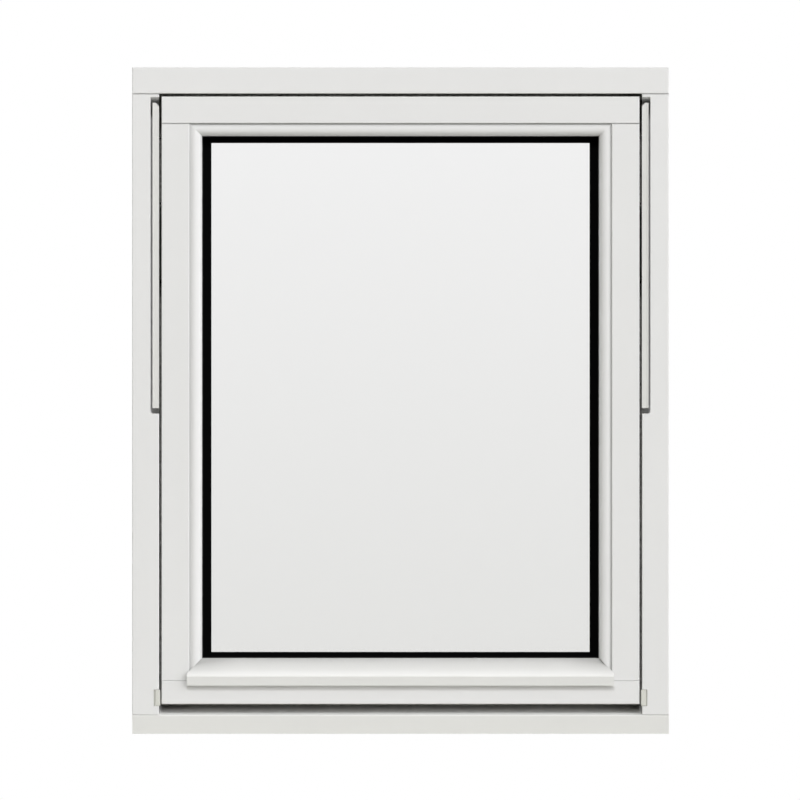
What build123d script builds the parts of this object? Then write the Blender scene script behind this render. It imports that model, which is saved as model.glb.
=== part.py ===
from build123d import *
import os
from math import radians, tan

# Top swing window in painted timber, closed, in millimetres.
# X runs to the right seen from outside, Y runs inwards from the weather side, Z runs up.
# The origin is the middle of the sill's underside, half way through the frame's depth.

# Frame
frame_width = 805.0
frame_height = 1000.0
frame_depth = 115.0
head_face = 39.5
jamb_face = 40.3
sill_face = 28.3
sill_fall = 13.0  # degrees, slope of the sill towards the outside
sill_lean = 5.0  # degrees, undercut of the sill's front
sill_nose_radius = 2.5
frame_arris = 1.5
head_joint = 1.3  # height of the open line where an upright meets the head or the top rail
foot_joint = 0.3  # the same where a stile meets the bottom rail
sill_joint = 0.6  # the same where a jamb meets the sill
joint_depth = 4.0
drip_width = 6.0
drip_depth = 5.0
drip_inset = 9.0

# Gap between frame and sash
side_gap = 3.8
top_gap = 4.5
bottom_gap = 16.2
stop_lap = 12.0
seal_thickness = 4.0
seal_lap = 8.0
seal_inset = 0.5
seal_round = 1.2

# Sash
sash_depth = 58.0
sash_setback = 1.5
stile_face = 41.5
top_rail_face = 40.0
bottom_rail_face = 35.5
bottom_sight = 69.3
sash_bevel = 9.0  # degrees, rise of the sash's underside towards the room
sash_arris = 1.2
lip_slope = 9.0
lip_bevel = 6.0

# Glazing
glass_recess = 20.0
pane_thickness = 4.0
cavity = 16.0
glass_cover = 13.0
gasket_thickness = 2.5
gasket_width = 9.0
gasket_show = 1.5
spacer_inset = 3.0
spacer_show_side = 13.9
spacer_show_top = 10.4
spacer_show_bottom = 9.2
platform_fall = 2.0
block_length = 80.0
block_spacing = 420.0

# Moulded beads
bead_width = 19.4
bead_setback = 2.0
bead_outer_fall = 2.5
bead_crest = 8.0
bead_toe = 5.0

# Bottom bead with its drip nose
nose_reach = 7.0
nose_face = 13.5
nose_top_drop = 28.0
nose_lean = 0.4
nose_overlap = 3.6
nose_swell = 2.2  # rise of the rounded slope above a straight one
nose_round = 2.5
nose_groove = 3.0

# Hinge recess in the jamb and the track that lies in it
slot_width = 12.7
slot_depth = 28.0
slot_length = 475.0
slot_drop = 5.0
slot_ramp = 8.0
slot_corner = 4.0
track_width = 9.8
track_length = 458.0
track_drop = 8.8
track_setback = 0.5
track_rim = 1.8
track_step = 0.6
track_chamfer = 5.0
track_round = 1.2
channel_mouth = 4.6
channel_width = 7.6
channel_depth = 5.4
channel_lip = 1.6

# Shoe in the track and arm beside the sash
running_clearance = 0.3
shoe_length = 44.0
shoe_pin_drop = 62.0
shoe_pin_radius = 2.0
pin_depth = 9.0
arm_thickness = 2.4
arm_width = 16.0
arm_span = 105.0
arm_depth = 42.0
arm_pin_radius = 3.0

# Guide block at the foot of the jamb
guide_width = 8.0
guide_reach = 1.6
guide_height = 24.4
guide_depth = 22.0
guide_rise = 41.9
guide_chamfer = 1.0
guide_bevel = 3.0  # along the edge inside the jamb

# Frame screws, two through each jamb
screw_radius = 4.0
screw_head_radius = 7.0
screw_head_depth = 9.0
screw_spacing = 640.0
screw_depth = 84.0

# Handle on the inside of the bottom rail
rose_length = 68.0
rose_height = 30.0
rose_thickness = 9.0
rose_round = 2.5
neck_radius = 9.0
neck_length = 26.0
lever_length = 124.0
lever_height = 20.0
lever_tip_height = 15.0
lever_thickness = 11.0
lever_round = 3.5

# Planes through the depth
frame_front = -frame_depth / 2
frame_back = frame_depth / 2
sash_front = frame_front + sash_setback
sash_back = sash_front + sash_depth
stop_front = sash_back + seal_thickness
glass_front = sash_front + glass_recess
glass_inner = glass_front + pane_thickness + cavity
glass_back = glass_inner + pane_thickness
bead_front = sash_front + bead_setback
bead_back = glass_front - gasket_thickness
toe_front = bead_back - bead_toe
lip_front = glass_back + gasket_thickness
nose_front = sash_front - nose_reach

# Half widths
jamb_inner = frame_width / 2 - jamb_face
sash_half = jamb_inner - side_gap
stop_half = sash_half - stop_lap
rebate_half = sash_half - stile_face
sight_half = rebate_half - bead_width
glass_half = sight_half + glass_cover

# Heights
head_under = frame_height - head_face
sash_top = head_under - top_gap
head_stop = sash_top - stop_lap
sash_under = sill_face + bottom_gap
sash_under_back = sash_under + sash_depth * tan(radians(sash_bevel))
sill_stop = sash_under_back + stop_lap
sill_back = sill_face + (stop_front - frame_front) * tan(radians(sill_fall))
sill_toe = frame_front + sill_face * tan(radians(sill_lean))
rebate_top = sash_top - top_rail_face
sight_top = rebate_top - bead_width
glass_top = sight_top + glass_cover
shelf_top = sash_under + bottom_rail_face
sight_bottom = sash_under + bottom_sight
platform_top = sight_bottom - bead_width
glass_bottom = sight_bottom - glass_cover
nose_top = sight_bottom - nose_top_drop
nose_bottom = nose_top - nose_face

# Fittings
slot_floor = frame_front + slot_depth
slot_top = head_under - slot_drop
slot_bottom = slot_top - slot_length
track_front = frame_front + track_setback
track_top = slot_top - track_drop
track_bottom = track_top - track_length
channel_axis = (track_front + slot_floor) / 2
shoe_pin_height = sash_top - shoe_pin_drop
arm_axis = frame_front + arm_depth
arm_pivot_high = shoe_pin_height - arm_span
arm_pivot_low = arm_pivot_high - arm_span
arm_outer = jamb_inner - (side_gap - arm_thickness) / 2
screw_axis = frame_front + screw_depth
handle_height = (sill_stop + sight_bottom - lip_slope) / 2


def head_outline():
    """Section of the head: outer part, and the stop that laps behind the sash."""
    with BuildSketch(Plane.YZ) as outline:
        with BuildLine():
            Polyline(
                (frame_front, frame_height),
                (frame_front, head_under),
                (stop_front, head_under),
                (stop_front, head_stop),
                (frame_back, head_stop),
                (frame_back, frame_height),
                close=True,
            )
        make_face()
    return outline.sketch


def sill_outline():
    """Section of the sill: undercut front, weathered slope, and the stop behind the sash."""
    with BuildSketch(Plane.YZ) as outline:
        with BuildLine():
            Polyline(
                (sill_toe, 0),
                (frame_front, sill_face),
                (stop_front, sill_back),
                (stop_front, sill_stop),
                (frame_back, sill_stop),
                (frame_back, 0),
                close=True,
            )
        make_face()
    return outline.sketch


def top_rail_outline():
    """Section of the sash's top rail: outer part, and the lip behind the glass."""
    with BuildSketch(Plane.YZ) as outline:
        with BuildLine():
            Polyline(
                (sash_front, sash_top),
                (sash_front, rebate_top),
                (lip_front, rebate_top),
                (lip_front, sight_top),
                (sash_back - lip_bevel, sight_top),
                (sash_back, sight_top + lip_slope),
                (sash_back, sash_top),
                close=True,
            )
        make_face()
    return outline.sketch


def bottom_rail_outline():
    """Section of the sash's bottom rail: shelf for the bead, drained platform for the glass, lip."""
    with BuildSketch(Plane.YZ) as outline:
        with BuildLine():
            Polyline(
                (sash_front, sash_under),
                (sash_front, shelf_top),
                (bead_back, shelf_top),
                (bead_back, platform_top - platform_fall),
                (lip_front, platform_top),
                (lip_front, sight_bottom),
                (sash_back - lip_bevel, sight_bottom),
                (sash_back, sight_bottom - lip_slope),
                (sash_back, sash_under_back),
                close=True,
            )
        make_face()
    return outline.sketch


def bead_outline(plane):
    """Half round bead section: local x runs from the rebate to the sight line, local y inwards."""
    with BuildSketch(plane) as outline:
        with BuildLine():
            Polyline(
                (0, bead_front + bead_outer_fall),
                (0, bead_back),
                (bead_width, bead_back),
                (bead_width, toe_front),
            )
            ThreePointArc(
                (bead_width, toe_front),
                (bead_crest, bead_front),
                (0, bead_front + bead_outer_fall),
            )
        make_face()
    return outline.sketch


def joint_line(front, high, opening):
    """Narrow groove across the front of an upright's end, which shows as the line of the joint."""
    with BuildSketch(Plane.YZ) as outline:
        with Locations((front, high)):
            Rectangle(joint_depth, opening, align=(Align.MIN, Align.MAX))
    return outline.sketch


def rectangle_at(depth, half_width, low, high):
    """Upright rectangle, centred on the window, on the plane at this depth."""
    with BuildSketch(Plane.XZ.offset(-depth)) as outline:
        with Locations((0, (low + high) / 2)):
            Rectangle(2 * half_width, high - low)
    return outline.sketch


def mirrored(part):
    """The same piece for the other side of the window."""
    with BuildPart() as other:
        mirror(part, about=Plane.YZ)
    return other.part


# Frame: head and sill run the full width, the jambs stand between them
with BuildPart() as frame_head:
    extrude(head_outline(), amount=frame_width / 2, both=True)
    head_front_edges = frame_head.faces().sort_by(Axis.Y)[0].edges()
    head_stop_edges = frame_head.edges().filter_by(Axis.X).group_by(Axis.Z)[0]
    fillet(head_front_edges + head_stop_edges, frame_arris)

with BuildPart() as frame_sill:
    extrude(sill_outline(), amount=frame_width / 2, both=True)
    sill_stop_edges = frame_sill.edges().filter_by(Axis.X).group_by(Axis.Z)[-1]
    fillet(sill_stop_edges, frame_arris)
    fillet(frame_sill.edges().filter_by(Axis.X).sort_by(Axis.Y)[0], sill_nose_radius)
    with BuildSketch(Plane.YZ):
        with Locations((frame_front + drip_inset + drip_width / 2, 0)):
            Rectangle(drip_width, drip_depth, align=(Align.CENTER, Align.MIN))
    extrude(amount=frame_width / 2, both=True, mode=Mode.SUBTRACT)

# Recess for the hinge track, open to the front and to the sash, with a ramp at its top
with BuildPart() as hinge_slot:
    with BuildSketch(Plane.YZ.offset(-jamb_inner)):
        with BuildLine():
            Polyline(
                (frame_front, slot_top),
                (slot_floor, slot_top - slot_ramp),
                (slot_floor, slot_bottom),
                (frame_front, slot_bottom),
                close=True,
            )
        make_face()
    extrude(amount=-slot_width)
    foot_edges = hinge_slot.edges().filter_by(Axis.Y).group_by(Axis.Z)[0]
    fillet(foot_edges.sort_by(Axis.X)[0], slot_corner)

with BuildPart() as frame_jamb_left:
    with BuildSketch(Plane.XY.offset(sill_face)):
        with BuildLine():
            Polyline(
                (-frame_width / 2, frame_front),
                (-jamb_inner, frame_front),
                (-jamb_inner, stop_front),
                (-stop_half, stop_front),
                (-stop_half, frame_back),
                (-frame_width / 2, frame_back),
                close=True,
            )
        make_face()
    extrude(amount=frame_height - sill_face)
    jamb_front_edges = frame_jamb_left.edges().filter_by(Axis.Z).group_by(Axis.Y)[0]
    jamb_stop_edges = frame_jamb_left.edges().filter_by(Axis.Z).group_by(Axis.X)[-1]
    fillet(jamb_front_edges + jamb_stop_edges, frame_arris)
    extrude(head_outline(), amount=frame_width / 2, both=True, mode=Mode.SUBTRACT)
    extrude(sill_outline(), amount=frame_width / 2, both=True, mode=Mode.SUBTRACT)
    jamb_joint = joint_line(frame_front, head_under, head_joint)
    extrude(jamb_joint, amount=frame_width / 2, both=True, mode=Mode.SUBTRACT)
    jamb_foot_joint = joint_line(frame_front, sill_face + sill_joint, sill_joint)
    extrude(jamb_foot_joint, amount=frame_width / 2, both=True, mode=Mode.SUBTRACT)
    add(hinge_slot.part, mode=Mode.SUBTRACT)
    with BuildSketch(Plane.XY.offset(guide_rise - running_clearance)):
        with Locations((-jamb_inner, frame_front)):
            Rectangle(guide_width, guide_depth, align=(Align.MAX, Align.MIN))
    extrude(amount=guide_height + 2 * running_clearance, mode=Mode.SUBTRACT)
    with BuildSketch(Plane.YZ.offset(-jamb_inner)):
        with Locations((arm_axis, arm_pivot_low)):
            Circle(arm_pin_radius + running_clearance)
    extrude(amount=-pin_depth - running_clearance, mode=Mode.SUBTRACT)
    with Locations(Plane.YZ.offset(-stop_half)):
        with GridLocations(1, screw_spacing, 1, 2):
            with Locations((screw_axis, frame_height / 2)):
                CounterBoreHole(screw_radius, screw_head_radius, screw_head_depth)

# Sash: top and bottom rails run the full width, the stiles stand between them
with BuildPart() as sash_top_rail:
    extrude(top_rail_outline(), amount=sash_half, both=True)
    top_front_edges = sash_top_rail.faces().sort_by(Axis.Y)[0].edges()
    fillet(top_front_edges, sash_arris)

with BuildPart() as sash_bottom_rail:
    extrude(bottom_rail_outline(), amount=sash_half, both=True)
    bottom_front_edges = sash_bottom_rail.faces().sort_by(Axis.Y)[0].edges()
    fillet(bottom_front_edges, sash_arris)
    with BuildSketch(Plane.YZ):
        with Locations((sash_front + drip_inset + drip_width / 2, sash_under)):
            Rectangle(drip_width, drip_depth, align=(Align.CENTER, Align.MIN))
    extrude(amount=sash_half, both=True, mode=Mode.SUBTRACT)

with BuildPart() as sash_stile_left:
    with BuildSketch(Plane.XY.offset(shelf_top)):
        with BuildLine():
            Polyline(
                (-sash_half, sash_front),
                (-rebate_half, sash_front),
                (-rebate_half, lip_front),
                (-sight_half, lip_front),
                (-sight_half, sash_back - lip_bevel),
                (-sight_half - lip_slope, sash_back),
                (-sash_half, sash_back),
                close=True,
            )
        make_face()
    extrude(amount=sash_top - shelf_top)
    stile_front_edges = sash_stile_left.edges().filter_by(Axis.Z).group_by(Axis.Y)[0]
    fillet(stile_front_edges, sash_arris)
    extrude(top_rail_outline(), amount=sash_half, both=True, mode=Mode.SUBTRACT)
    extrude(bottom_rail_outline(), amount=sash_half, both=True, mode=Mode.SUBTRACT)
    stile_joint = joint_line(sash_front, rebate_top, head_joint)
    extrude(stile_joint, amount=sash_half, both=True, mode=Mode.SUBTRACT)
    stile_foot_joint = joint_line(sash_front, shelf_top + foot_joint, foot_joint)
    extrude(stile_foot_joint, amount=sash_half, both=True, mode=Mode.SUBTRACT)
    with BuildSketch(Plane.YZ.offset(-sash_half)):
        with Locations((channel_axis, shoe_pin_height)):
            Circle(shoe_pin_radius + running_clearance)
        with Locations((arm_axis, arm_pivot_high)):
            Circle(arm_pin_radius + running_clearance)
    extrude(amount=pin_depth + running_clearance, mode=Mode.SUBTRACT)

# Glazing unit with its gaskets and setting blocks
with BuildPart() as glass_outer_pane:
    extrude(rectangle_at(glass_front, glass_half, glass_bottom, glass_top), amount=-pane_thickness)

with BuildPart() as glass_inner_pane:
    extrude(rectangle_at(glass_inner, glass_half, glass_bottom, glass_top), amount=-pane_thickness)

with BuildPart() as glass_spacer:
    spacer_front = glass_front + pane_thickness
    spacer_half = glass_half - spacer_inset
    spacer_low = glass_bottom + spacer_inset
    spacer_high = glass_top - spacer_inset
    extrude(rectangle_at(spacer_front, spacer_half, spacer_low, spacer_high), amount=-cavity)
    clear_half = sight_half - spacer_show_side
    clear_low = sight_bottom + spacer_show_bottom
    clear_high = sight_top - spacer_show_top
    clear = rectangle_at(spacer_front, clear_half, clear_low, clear_high)
    extrude(clear, amount=-cavity, mode=Mode.SUBTRACT)

with BuildPart() as glazing_gasket_outer:
    gasket_half = sight_half + gasket_width
    gasket_low = sight_bottom - gasket_width
    gasket_high = sight_top + gasket_width
    extrude(rectangle_at(bead_back, gasket_half, gasket_low, gasket_high), amount=-gasket_thickness)
    show_low = sight_bottom + gasket_show
    show_high = sight_top - gasket_show
    outer_clear = rectangle_at(bead_back, sight_half - gasket_show, show_low, show_high)
    extrude(outer_clear, amount=-gasket_thickness, mode=Mode.SUBTRACT)

with BuildPart() as glazing_gasket_inner:
    extrude(rectangle_at(glass_back, gasket_half, gasket_low, gasket_high), amount=-gasket_thickness)
    inner_clear = rectangle_at(glass_back, sight_half - gasket_show, show_low, show_high)
    extrude(inner_clear, amount=-gasket_thickness, mode=Mode.SUBTRACT)

with BuildPart() as setting_blocks:
    with BuildSketch(Plane.XY.offset(platform_top)):
        with Locations((0, (glass_front + glass_back) / 2)):
            with GridLocations(block_spacing, 1, 2, 1):
                Rectangle(block_length, glass_back - glass_front)
    extrude(amount=glass_bottom - platform_top)

# Moulded beads, mitred to each other in the corners of the sight line
mitre_top_left = Plane(origin=(-sight_half, 0, sight_top), z_dir=(1, 0, 1))
mitre_top_right = Plane(origin=(sight_half, 0, sight_top), z_dir=(-1, 0, 1))
mitre_bottom_left = Plane(origin=(-sight_half, 0, sight_bottom), z_dir=(1, 0, -1))
mitre_bottom_right = Plane(origin=(sight_half, 0, sight_bottom), z_dir=(-1, 0, -1))

with BuildPart() as glazing_bead_top:
    top_bead_plane = Plane(origin=(0, 0, rebate_top), x_dir=(0, 0, -1), z_dir=(1, 0, 0))
    extrude(bead_outline(top_bead_plane), amount=rebate_half, both=True)
    split(bisect_by=mitre_top_left, keep=Keep.TOP)
    split(bisect_by=mitre_top_right, keep=Keep.TOP)

with BuildPart() as glazing_bead_left:
    left_bead_plane = Plane(origin=(-rebate_half, 0, platform_top), z_dir=(0, 0, 1))
    extrude(bead_outline(left_bead_plane), amount=rebate_top - platform_top)
    split(bisect_by=mitre_top_left, keep=Keep.BOTTOM)
    split(bisect_by=mitre_bottom_left, keep=Keep.BOTTOM)

with BuildPart() as glazing_bead_bottom:
    with BuildSketch(Plane.YZ):
        with BuildLine():
            Polyline(
                (toe_front, sight_bottom),
                (bead_back, sight_bottom),
                (bead_back, shelf_top),
                (sash_front, shelf_top),
                (sash_front, nose_bottom),
                (nose_front + nose_lean, nose_bottom),
                (nose_front, nose_top),
            )
            SagittaArc((nose_front, nose_top), (toe_front, sight_bottom), nose_swell)
        make_face()
    extrude(amount=rebate_half + nose_overlap, both=True)
    fillet(glazing_bead_bottom.edges().filter_by(Axis.X).group_by(Axis.Y)[0], nose_round)
    groove_axis = (sash_front + nose_front + nose_lean) / 2
    with BuildSketch(Plane.YZ):
        with Locations((groove_axis, nose_bottom)):
            Rectangle(nose_groove, nose_groove)
    extrude(amount=rebate_half + nose_overlap, both=True, mode=Mode.SUBTRACT)
    with BuildSketch(Plane.XY.offset(nose_bottom)):
        with Locations((rebate_half, sash_front)):
            Rectangle(nose_overlap, sash_depth, align=(Align.MIN, Align.MIN))
        with Locations((-rebate_half, sash_front)):
            Rectangle(nose_overlap, sash_depth, align=(Align.MAX, Align.MIN))
    extrude(amount=sight_bottom - nose_bottom, mode=Mode.SUBTRACT)
    split(bisect_by=mitre_bottom_left, keep=Keep.TOP)
    split(bisect_by=mitre_bottom_right, keep=Keep.TOP)

# Seal in the frame's rebate, which the back of the sash closes on
with BuildPart() as weather_seal:
    seal_half = jamb_inner - seal_inset
    seal_low = sill_back + seal_inset
    seal_high = head_under - seal_inset
    extrude(rectangle_at(sash_back, seal_half, seal_low, seal_high), amount=-seal_thickness)
    clear_side = sash_half - seal_lap
    clear_foot = sash_under_back + seal_lap
    clear_head = sash_top - seal_lap
    seal_clear = rectangle_at(sash_back, clear_side, clear_foot, clear_head)
    extrude(seal_clear, amount=-seal_thickness, mode=Mode.SUBTRACT)
    fillet(weather_seal.faces().sort_by(Axis.Y)[0].edges(), seal_round)

# Hinge fittings of the left side
with BuildPart() as hinge_track_left:
    with BuildSketch(Plane.XY.offset(track_bottom)):
        with Locations((-jamb_inner, track_front)):
            Rectangle(track_width, slot_floor - track_front, align=(Align.MAX, Align.MIN))
        with Locations((-jamb_inner, track_front)):
            Rectangle(
                track_width - track_rim, track_step, align=(Align.MAX, Align.MIN), mode=Mode.SUBTRACT
            )
        with Locations((-jamb_inner, channel_axis)):
            Rectangle(
                channel_lip, channel_mouth, align=(Align.MAX, Align.CENTER), mode=Mode.SUBTRACT
            )
        with Locations((-jamb_inner - channel_lip, channel_axis)):
            Rectangle(
                channel_depth - channel_lip,
                channel_width,
                align=(Align.MAX, Align.CENTER),
                mode=Mode.SUBTRACT,
            )
    extrude(amount=track_length)
    track_end_edges = hinge_track_left.edges().filter_by(Axis.Y).filter_by_position(
        Axis.X, -jamb_inner - track_round, -jamb_inner + track_round
    )
    chamfer(track_end_edges.group_by(Axis.Z)[-1], track_chamfer)
    fillet(track_end_edges.group_by(Axis.Z)[0], track_round)

with BuildPart() as hinge_shoe_left:
    with BuildSketch(Plane.YZ.offset(-jamb_inner - channel_lip - running_clearance)):
        with Locations((channel_axis, shoe_pin_height)):
            RectangleRounded(channel_width - 2 * running_clearance, shoe_length, shoe_pin_radius)
    extrude(amount=-(channel_depth - channel_lip - 2 * running_clearance))
    with BuildSketch(Plane.YZ.offset(-jamb_inner - channel_lip - running_clearance)):
        with Locations((channel_axis, shoe_pin_height)):
            Circle(shoe_pin_radius)
    extrude(amount=channel_lip + running_clearance + side_gap + pin_depth)

with BuildPart() as hinge_arm_left:
    with BuildSketch(Plane.YZ.offset(-arm_outer)):
        with Locations((arm_axis, (arm_pivot_low + arm_pivot_high) / 2)):
            SlotCenterToCenter(arm_span, arm_width, rotation=90)
    extrude(amount=arm_thickness)
    with BuildSketch(Plane.YZ.offset(-arm_outer)):
        with Locations((arm_axis, arm_pivot_low)):
            Circle(arm_pin_radius)
    extrude(amount=-(side_gap - arm_thickness) / 2 - pin_depth)
    with BuildSketch(Plane.YZ.offset(-arm_outer + arm_thickness)):
        with Locations((arm_axis, arm_pivot_high)):
            Circle(arm_pin_radius)
    extrude(amount=(side_gap - arm_thickness) / 2 + pin_depth)

with BuildPart() as guide_block_left:
    with BuildSketch(Plane.XY.offset(guide_rise)):
        with Locations((-jamb_inner - guide_width, frame_front)):
            Rectangle(guide_width + guide_reach, guide_depth, align=(Align.MIN, Align.MIN))
    extrude(amount=guide_height)
    guide_front = guide_block_left.faces().sort_by(Axis.Y)[0]
    chamfer(guide_front.edges().sort_by(Axis.X)[1:], guide_chamfer)
    guide_front = guide_block_left.faces().sort_by(Axis.Y)[0]
    chamfer(guide_front.edges().sort_by(Axis.X)[0], guide_bevel)

# Handle on the room side of the bottom rail
with BuildPart() as handle_rose:
    with BuildSketch(Plane.XZ.offset(-sash_back)):
        with Locations((0, handle_height)):
            SlotOverall(rose_length, rose_height)
    extrude(amount=-rose_thickness)
    fillet(handle_rose.faces().sort_by(Axis.Y)[-1].edges(), rose_round)

with BuildPart() as handle_lever:
    with BuildSketch(Plane.XZ.offset(-sash_back - rose_thickness)):
        with Locations((0, handle_height)):
            Circle(neck_radius)
    extrude(amount=-neck_length)
    with BuildSketch(Plane.XZ.offset(-sash_back - rose_thickness - neck_length)):
        with BuildLine():
            half_root = lever_height / 2
            half_tip = lever_tip_height / 2
            tip_start = lever_length - half_root - half_tip
            Line((0, handle_height + half_root), (tip_start, handle_height + half_tip))
            ThreePointArc(
                (tip_start, handle_height + half_tip),
                (tip_start + half_tip, handle_height),
                (tip_start, handle_height - half_tip),
            )
            Line((tip_start, handle_height - half_tip), (0, handle_height - half_root))
            ThreePointArc(
                (0, handle_height - half_root),
                (-half_root, handle_height),
                (0, handle_height + half_root),
            )
        make_face()
    extrude(amount=-lever_thickness)
    fillet(handle_lever.faces().sort_by(Axis.Y)[-1].edges(), lever_round)

single_pieces = {
    "frame_head": frame_head.part,
    "frame_sill": frame_sill.part,
    "sash_top_rail": sash_top_rail.part,
    "sash_bottom_rail": sash_bottom_rail.part,
    "glass_outer_pane": glass_outer_pane.part,
    "glass_inner_pane": glass_inner_pane.part,
    "glass_spacer": glass_spacer.part,
    "glazing_gasket_outer": glazing_gasket_outer.part,
    "glazing_gasket_inner": glazing_gasket_inner.part,
    "setting_blocks": setting_blocks.part,
    "glazing_bead_top": glazing_bead_top.part,
    "glazing_bead_bottom": glazing_bead_bottom.part,
    "weather_seal": weather_seal.part,
    "handle_rose": handle_rose.part,
    "handle_lever": handle_lever.part,
}
left_pieces = {
    "frame_jamb": frame_jamb_left.part,
    "sash_stile": sash_stile_left.part,
    "glazing_bead": glazing_bead_left.part,
    "hinge_track": hinge_track_left.part,
    "hinge_shoe": hinge_shoe_left.part,
    "hinge_arm": hinge_arm_left.part,
    "guide_block": guide_block_left.part,
}
pieces = dict(single_pieces)
for name, part in left_pieces.items():
    pieces[f"{name}_left"] = part
    pieces[f"{name}_right"] = mirrored(part)

os.makedirs("parts", exist_ok=True)
for name, part in pieces.items():
    part.label = name
    export_step(part, f"parts/{name}.step")
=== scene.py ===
"""Looks of the top swing window: paint, glass, gaskets and fittings, with its stage, light and camera."""

import math

import bpy
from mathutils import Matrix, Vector


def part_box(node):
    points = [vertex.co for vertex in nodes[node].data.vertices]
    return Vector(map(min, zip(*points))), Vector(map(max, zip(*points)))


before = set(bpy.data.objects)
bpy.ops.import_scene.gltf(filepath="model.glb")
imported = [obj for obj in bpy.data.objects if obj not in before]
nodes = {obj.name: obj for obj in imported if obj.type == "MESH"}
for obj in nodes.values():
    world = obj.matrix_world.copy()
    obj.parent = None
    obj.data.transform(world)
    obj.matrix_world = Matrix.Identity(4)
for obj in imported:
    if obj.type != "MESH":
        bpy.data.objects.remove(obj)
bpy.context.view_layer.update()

# Photograph: pixels of its square frame, and the real size of one pixel at the window's face
photo_pixels = 800
photo_centre = photo_pixels / 2
metres_per_pixel = 0.0015
window_centre_pixel = 400.5
window_foot_pixel = 733.9

# Camera: level, with parallel rays, because the photograph shows no perspective
camera_distance = 6.0
camera_tilt = math.radians(90)

# Lamps: a small one from above in front, a broad one from the right in front, and one from the room side.
# Each direction points to the lamp, and its angle is how wide the lamp looks
top_direction = Vector((0.0, -0.68, 0.73))
top_strength = 1.15
top_angle = math.radians(9)
side_direction = Vector((0.75, -0.60, 0.20))
side_strength = 2.29
side_angle = math.radians(60)
fill_direction = Vector((-0.50, 0.86, 0.04))
fill_strength = 2.2
fill_angle = math.radians(40)
lamp_colour = (0.974, 0.971, 1.0)
fill_colour = (0.93, 0.93, 1.0)

# Sky: even for diffuse light. Reflections see a white room with a dark wall in front of the window,
# fully dark within the core angle and white beyond the edge angle
sky_colour = (1.0, 0.995, 0.89)
sky_strength = 0.29
room_white = (1.0, 1.0, 1.0)
dark_core = math.radians(14)
dark_edge = math.radians(36)

# Floor: its size, its colour, and the glow that the camera sees on it
floor_sides = 96
floor_radius = 8.0
floor_colour = (0.60, 0.60, 0.55)
floor_glow = (0.91, 0.91, 1.0)
floor_lift = 0.57

# Colours, linear
paint_white = (0.785, 0.785, 0.785)
# The sill's white is a little darker and warmer than the paint: painted shade on the sill
sill_shaded_white = (0.772, 0.772, 0.757)
coating_white = (0.760, 0.760, 0.745)
track_grey = (0.730, 0.728, 0.712)
guide_grey = (0.665, 0.665, 0.620)
rubber_black = (0.010, 0.010, 0.010)
spacer_black = (0.002, 0.002, 0.002)
seal_grey = (0.540, 0.540, 0.510)
moulded_black = (0.030, 0.030, 0.030)
zinc_black = (0.10, 0.10, 0.095)
steel_grey = (0.60, 0.60, 0.59)

# Glass: its tint at the top and at the foot, lighter at the top and darker at the foot as a painted
# reflection of sky above and ground below, and the share of the lamps' light that it lets through
glass_top_painted_reflection = (0.954, 0.954, 0.954)
glass_foot_painted_reflection = (0.888, 0.888, 0.880)
glass_shadow = (0.9, 0.9, 0.9)
glass_index = 1.45

# Patterns: factors on the coordinates, small along the grain, and the part of the noise that is used
upright_grain = (1.0, 1.0, 0.03)
level_grain = (0.03, 1.0, 1.0)
no_grain = (1.0, 1.0, 1.0)
noise_range = (0.3, 0.7)
cloud_detail = 2.0

# Paint: scale and detail of the grain, scale and share of the clouds in its tone, range of roughness,
# and strength and height in metres of the relief
paint_grain = (420.0, 4.0)
paint_clouds = 9.0
paint_change = 0.006
paint_roughness = (0.52, 0.62)
paint_specular = 0.25
paint_relief = (0.10, 0.0002)

# Coated and moulded pieces: as for paint, and for each its roughness and the scale of its orange peel
peel_detail = 2.0
coating_clouds = 14.0
coating_change = 0.008
coating_swing = 0.04
coating_specular = 0.3
coating_relief = (0.08, 0.0001)
bead_finish = (0.36, 900.0)
block_finish = (0.5, 1200.0)
shoe_finish = (0.4, 1200.0)
track_finish = (0.38, 1400.0)
guide_finish = (0.45, 1100.0)

# Rubber: scale and detail of its bloom, then as for paint
rubber_bloom = (160.0, 4.0)
rubber_change = 0.25
rubber_roughness = (0.62, 0.80)
rubber_specular = 0.1
rubber_relief = (0.10, 0.0001)

# Steel: scale and detail of the brushing, then as for paint
steel_lines = (2600.0, 3.0)
steel_change = 0.05
steel_swing = 0.06
steel_relief = (0.06, 0.00005)
arm_roughness = 0.45
handle_roughness = 0.32

# Painted shade in corners and recesses: how far from other pieces it reaches, in metres, and for each
# piece how open a spot is, from 0 to 1, where the painted shade is full and where it ends, and the share
# of the colour that it leaves
corner_shade_reach = 0.06
corner_shade_samples = 48
side_bead_corner_shade = (0.5, 1.0, 0.82)
top_bead_corner_shade = (0.5, 1.0, 0.72)
foot_bead_corner_shade = (0.88, 1.0, 0.64)
# The sill's painted shade falls only deep in the gap under the sash
sill_gap_shade = (0.0, 0.05, 0.0)

# Painted shade on upward faces: the upward share of the surface's normal where it begins and where it is
# full, and the share of the colour that it leaves
top_bead_upward_shade = (0.10, 0.50, 0.80)
foot_bead_upward_shade = (0.36, 0.48, 0.905)

# Places of the sockets that share their names with others on the node that mixes colours
mix_factor = 0
mix_first = 6
mix_second = 7
mix_result = 2


def opaque(colour):
    """The colour with full alpha."""
    return (*colour, 1.0)


def around(middle, swing):
    """The range that reaches as far below the middle as above it."""
    return (middle - swing, middle + swing)


def start_material(name):
    """A material with a lone Principled shader, and its node tree."""
    material = bpy.data.materials.new(name)
    material.use_nodes = True
    tree = material.node_tree
    tree.nodes.clear()
    output = tree.nodes.new("ShaderNodeOutputMaterial")
    shader = tree.nodes.new("ShaderNodeBsdfPrincipled")
    tree.links.new(shader.outputs["BSDF"], output.inputs["Surface"])
    return material, tree, shader


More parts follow.
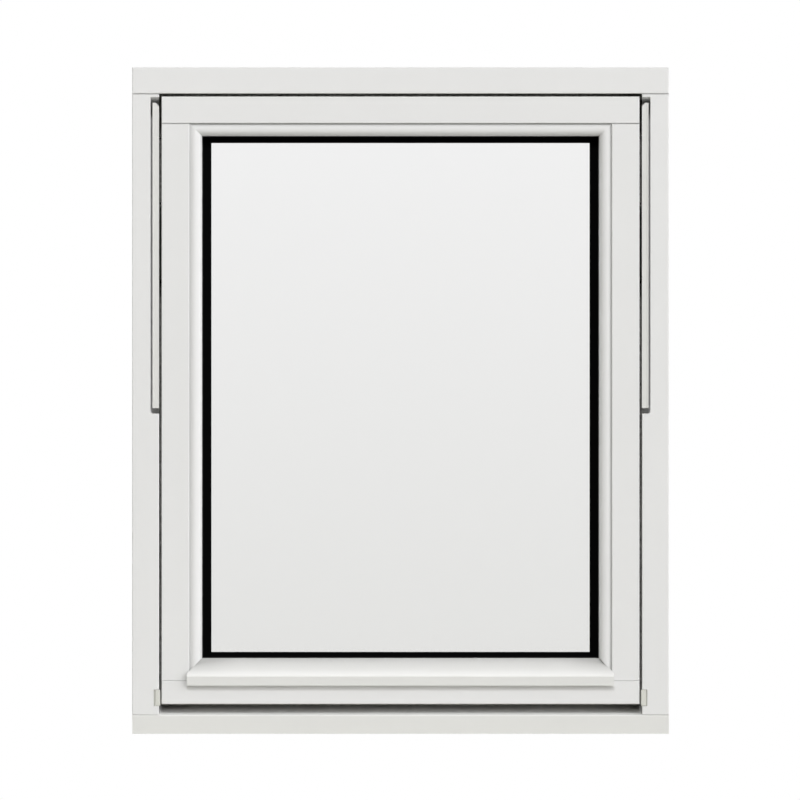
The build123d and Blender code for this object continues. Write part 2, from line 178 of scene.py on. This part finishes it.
def place(tree, scale):
    """Object coordinates, in metres, times the given factors."""
    coordinate = tree.nodes.new("ShaderNodeTexCoord")
    mapping = tree.nodes.new("ShaderNodeMapping")
    mapping.inputs["Scale"].default_value = scale
    tree.links.new(coordinate.outputs["Object"], mapping.inputs["Vector"])
    return mapping.outputs["Vector"]


def along(tree, vector, axis):
    """The part of the vector along one axis."""
    split = tree.nodes.new("ShaderNodeSeparateXYZ")
    tree.links.new(vector, split.inputs["Vector"])
    return split.outputs[axis]


def noise(tree, vector, scale, detail):
    """Noise over the given coordinates, as a factor from 0 to 1."""
    node = tree.nodes.new("ShaderNodeTexNoise")
    node.inputs["Scale"].default_value = scale
    node.inputs["Detail"].default_value = detail
    tree.links.new(vector, node.inputs["Vector"])
    return node.outputs["Fac"]


def remap(tree, value, source, target=(0.0, 1.0)):
    """The value moved from the source range into the target range, and held there."""
    node = tree.nodes.new("ShaderNodeMapRange")
    node.inputs["From Min"].default_value = source[0]
    node.inputs["From Max"].default_value = source[1]
    node.inputs["To Min"].default_value = target[0]
    node.inputs["To Max"].default_value = target[1]
    tree.links.new(value, node.inputs["Value"])
    return node.outputs["Result"]


def tint(tree, factor, colour, change):
    """The colour, made darker and lighter by the factor within the given share."""
    ramp = tree.nodes.new("ShaderNodeValToRGB")
    low, high = ramp.color_ramp.elements
    low.position, high.position = noise_range
    low.color = opaque([c * (1 - change) for c in colour])
    high.color = opaque([c * (1 + change) for c in colour])
    tree.links.new(factor, ramp.inputs["Fac"])
    return ramp.outputs["Color"]


def darken(tree, colour, factor):
    """The colour times the factor."""
    mix = tree.nodes.new("ShaderNodeMix")
    mix.data_type = "RGBA"
    mix.blend_type = "MULTIPLY"
    mix.inputs[mix_factor].default_value = 1.0
    tree.links.new(colour, mix.inputs[mix_first])
    tree.links.new(factor, mix.inputs[mix_second])
    return mix.outputs[mix_result]


def shade_corners(tree, colour, closed, opened, share):
    """The colour, darker where other pieces stand close: painted shade in corners and recesses."""
    corner = tree.nodes.new("ShaderNodeAmbientOcclusion")
    corner.samples = corner_shade_samples
    corner.inputs["Distance"].default_value = corner_shade_reach
    return darken(tree, colour, remap(tree, corner.outputs["AO"], (closed, opened), (share, 1.0)))


def shade_upward_faces(tree, colour, start, full, share):
    """The colour, darker where the surface faces up: painted shade on upward faces."""
    surface = tree.nodes.new("ShaderNodeNewGeometry")
    rise = along(tree, surface.outputs["Normal"], "Z")
    return darken(tree, colour, remap(tree, rise, (start, full), (1.0, share)))


def painted_shading(tree, colour, corner_shade, upward_shade):
    """The colour with the painted shade in corners and on upward faces that a piece has, if any."""
    if corner_shade:
        colour = shade_corners(tree, colour, *corner_shade)
    if upward_shade:
        colour = shade_upward_faces(tree, colour, *upward_shade)
    return colour


def cover(tree, shader, colour, pattern, roughness, relief):
    """Gives the shader its colour, and roughness and relief that follow the pattern."""
    bump = tree.nodes.new("ShaderNodeBump")
    strength, distance = relief
    bump.inputs["Strength"].default_value = strength
    bump.inputs["Distance"].default_value = distance
    tree.links.new(pattern, bump.inputs["Height"])
    tree.links.new(bump.outputs["Normal"], shader.inputs["Normal"])
    tree.links.new(colour, shader.inputs["Base Color"])
    tree.links.new(remap(tree, pattern, noise_range, roughness), shader.inputs["Roughness"])


def paint(name, colour, grain, corner_shade=None, upward_shade=None):
    """Satin paint on timber: faint grain along the piece, a slightly uneven sheen and tone, and any
    painted shade that is given.
    """
    material, tree, shader = start_material(name)
    strokes = noise(tree, place(tree, grain), *paint_grain)
    clouds = noise(tree, place(tree, no_grain), paint_clouds, cloud_detail)
    shade = painted_shading(tree, tint(tree, clouds, colour, paint_change), corner_shade, upward_shade)
    cover(tree, shader, shade, strokes, paint_roughness, paint_relief)
    shader.inputs["Specular IOR Level"].default_value = paint_specular
    return material


def coating(name, colour, finish, corner_shade=None, upward_shade=None):
    """Powder coating or moulded plastic: fine orange peel over an even colour, and any painted shade that
    is given.
    """
    roughness, peel_scale = finish
    material, tree, shader = start_material(name)
    evenly = place(tree, no_grain)
    peel = noise(tree, evenly, peel_scale, peel_detail)
    clouds = noise(tree, evenly, coating_clouds, cloud_detail)
    shade = painted_shading(tree, tint(tree, clouds, colour, coating_change), corner_shade, upward_shade)
    cover(tree, shader, shade, peel, around(roughness, coating_swing), coating_relief)
    shader.inputs["Specular IOR Level"].default_value = coating_specular
    return material


def rubber(name, colour):
    """Extruded rubber: matt, with a faint uneven bloom."""
    material, tree, shader = start_material(name)
    bloom = noise(tree, place(tree, no_grain), *rubber_bloom)
    shade = tint(tree, bloom, colour, rubber_change)
    cover(tree, shader, shade, bloom, rubber_roughness, rubber_relief)
    shader.inputs["Specular IOR Level"].default_value = rubber_specular
    return material


def brushed(name, colour, roughness):
    """Satin steel with fine level brushing."""
    material, tree, shader = start_material(name)
    lines = noise(tree, place(tree, level_grain), *steel_lines)
    shade = tint(tree, lines, colour, steel_change)
    cover(tree, shader, shade, lines, around(roughness, steel_swing), steel_relief)
    shader.inputs["Metallic"].default_value = 1.0
    return material


def blend(tree, factor, first, second):
    """The first shader where the factor is 0 and the second where it is 1."""
    mix = tree.nodes.new("ShaderNodeMixShader")
    tree.links.new(factor, mix.inputs["Fac"])
    tree.links.new(first, mix.inputs[1])
    tree.links.new(second, mix.inputs[2])
    return mix.outputs["Shader"]


def glass(name):
    """Clear float glass with a painted reflection, a little deeper in tone towards its foot, that lets
    the lamps through.
    """
    material, tree, shader = start_material(name)
    low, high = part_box("glass_outer_pane")
    coordinate = tree.nodes.new("ShaderNodeTexCoord")
    height = along(tree, coordinate.outputs["Object"], "Z")
    ramp = tree.nodes.new("ShaderNodeValToRGB")
    foot, top = ramp.color_ramp.elements
    foot.color = opaque(glass_foot_painted_reflection)
    top.color = opaque(glass_top_painted_reflection)
    tree.links.new(remap(tree, height, (low.z, high.z)), ramp.inputs["Fac"])
    tree.links.new(ramp.outputs["Color"], shader.inputs["Base Color"])
    shader.inputs["Roughness"].default_value = 0.0
    shader.inputs["IOR"].default_value = glass_index
    shader.inputs["Transmission Weight"].default_value = 1.0
    path = tree.nodes.new("ShaderNodeLightPath")
    clear = tree.nodes.new("ShaderNodeBsdfTransparent")
    clear.inputs["Color"].default_value = opaque(glass_shadow)
    output = next(n for n in tree.nodes if n.type == "OUTPUT_MATERIAL")
    pane = blend(tree, path.outputs["Is Shadow Ray"], shader.outputs["BSDF"], clear.outputs["BSDF"])
    tree.links.new(pane, output.inputs["Surface"])
    return material


def dress(material, *names):
    """Gives the named nodes this material."""
    for name in names:
        node = nodes[name]
        if not node.material_slots:
            node.data.materials.append(material)
        for slot in node.material_slots:
            slot.material = material


def dress_all():
    """Every node of the window in its finish."""
    upright = paint("painted_timber_upright", paint_white, upright_grain)
    level = paint("painted_timber_level", paint_white, level_grain)
    # The sill and the beads carry painted shade in their colours, and the glass a painted reflection
    sill = paint("painted_sill_shaded", sill_shaded_white, level_grain, sill_gap_shade)
    side_bead = paint("painted_bead_upright_shaded", paint_white, upright_grain, side_bead_corner_shade)
    top_bead = paint("painted_bead_level_shaded", paint_white, level_grain, top_bead_corner_shade, top_bead_upward_shade)
    foot_bead = coating("coated_bead", coating_white, bead_finish, foot_bead_corner_shade, foot_bead_upward_shade)
    shoe = coating("shoe_plastic", moulded_black, shoe_finish)
    track = coating("track_aluminium", track_grey, track_finish)
    arm = brushed("arm_steel", zinc_black, arm_roughness)
    guide = coating("guide_plastic", guide_grey, guide_finish)
    for side in ("left", "right"):
        dress(upright, f"frame_jamb_{side}", f"sash_stile_{side}")
        dress(side_bead, f"glazing_bead_{side}")
        dress(shoe, f"hinge_shoe_{side}")
        dress(track, f"hinge_track_{side}")
        dress(arm, f"hinge_arm_{side}")
        dress(guide, f"guide_block_{side}")
    dress(level, "frame_head", "sash_top_rail", "sash_bottom_rail")
    dress(sill, "frame_sill")
    dress(top_bead, "glazing_bead_top")
    dress(foot_bead, "glazing_bead_bottom")
    dress(glass("clear_glass"), "glass_outer_pane", "glass_inner_pane")
    dress(rubber("black_spacer", spacer_black), "glass_spacer")
    dress(rubber("black_gasket", rubber_black), "glazing_gasket_outer", "glazing_gasket_inner")
    dress(rubber("grey_seal", seal_grey), "weather_seal")
    dress(coating("block_plastic", moulded_black, block_finish), "setting_blocks")
    dress(brushed("handle_metal", steel_grey, handle_roughness), "handle_rose", "handle_lever")


def seen(tree):
    """1 for what the camera sees, straight or through the glass, and 0 for other rays."""
    path = tree.nodes.new("ShaderNodeLightPath")
    either = tree.nodes.new("ShaderNodeMath")
    either.operation = "MAXIMUM"
    tree.links.new(path.outputs["Is Camera Ray"], either.inputs[0])
    tree.links.new(path.outputs["Is Transmission Ray"], either.inputs[1])
    return either.outputs["Value"]


def stage_floor():
    """Pale floor that turns white for the camera where no shadow falls on it."""
    bpy.ops.mesh.primitive_circle_add(vertices=floor_sides, radius=floor_radius, fill_type="NGON")
    floor = bpy.context.object
    floor.name = "floor"
    material, tree, shader = start_material("floor_pale")
    shader.inputs["Roughness"].default_value = 1.0
    shader.inputs["Specular IOR Level"].default_value = 0.0
    shader.inputs["Base Color"].default_value = opaque(floor_colour)
    shader.inputs["Emission Color"].default_value = opaque(floor_glow)
    lift = remap(tree, seen(tree), (0.0, 1.0), (0.0, floor_lift))
    tree.links.new(lift, shader.inputs["Emission Strength"])
    floor.data.materials.append(material)


def stage_lamps():
    """Lamps from above, from the right and from the room side."""
    for name, direction, strength, angle, colour in (
        ("top", top_direction, top_strength, top_angle, lamp_colour),
        ("side", side_direction, side_strength, side_angle, lamp_colour),
        ("fill", fill_direction, fill_strength, fill_angle, fill_colour),
    ):
        data = bpy.data.lights.new(name, "SUN")
        data.color = colour
        data.energy = strength
        data.angle = angle
        lamp = bpy.data.objects.new(name, data)
        lamp.rotation_euler = direction.to_track_quat("Z", "Y").to_euler()
        bpy.context.scene.collection.objects.link(lamp)


def stage_sky():
    """Even pale sky, white for the camera, and a room with a dark wall for reflections."""
    world = bpy.data.worlds.new("studio")
    bpy.context.scene.world = world
    world.use_nodes = True
    tree = world.node_tree
    tree.nodes.clear()
    output = tree.nodes.new("ShaderNodeOutputWorld")
    sky = tree.nodes.new("ShaderNodeBackground")
    sky.inputs["Color"].default_value = opaque(sky_colour)
    sky.inputs["Strength"].default_value = sky_strength
    room = tree.nodes.new("ShaderNodeBackground")
    room.inputs["Color"].default_value = opaque(room_white)
    backdrop = tree.nodes.new("ShaderNodeBackground")
    backdrop.inputs["Color"].default_value = opaque(room_white)
    direction = tree.nodes.new("ShaderNodeTexCoord")
    inward = along(tree, direction.outputs["Generated"], "Y")
    wall = remap(tree, inward, (-math.cos(dark_core), -math.cos(dark_edge)))
    tree.links.new(wall, room.inputs["Strength"])
    path = tree.nodes.new("ShaderNodeLightPath")
    glossy = path.outputs["Is Glossy Ray"]
    lit = blend(tree, glossy, sky.outputs["Background"], room.outputs["Background"])
    whole = blend(tree, seen(tree), lit, backdrop.outputs["Background"])
    tree.links.new(whole, output.inputs["Surface"])


def stage_camera():
    """Camera square to the window's face, framed as the photograph."""
    data = bpy.data.cameras.new("camera")
    data.type = "ORTHO"
    data.ortho_scale = photo_pixels * metres_per_pixel
    camera = bpy.data.objects.new("camera", data)
    aim_x = (photo_centre - window_centre_pixel) * metres_per_pixel
    aim_z = (window_foot_pixel - photo_centre) * metres_per_pixel
    camera.location = (aim_x, -camera_distance, aim_z)
    camera.rotation_euler = (camera_tilt, 0, 0)
    bpy.context.scene.collection.objects.link(camera)
    bpy.context.scene.camera = camera


dress_all()
stage_floor()
stage_lamps()
stage_sky()
stage_camera()
bpy.context.scene.view_settings.view_transform = "Standard"
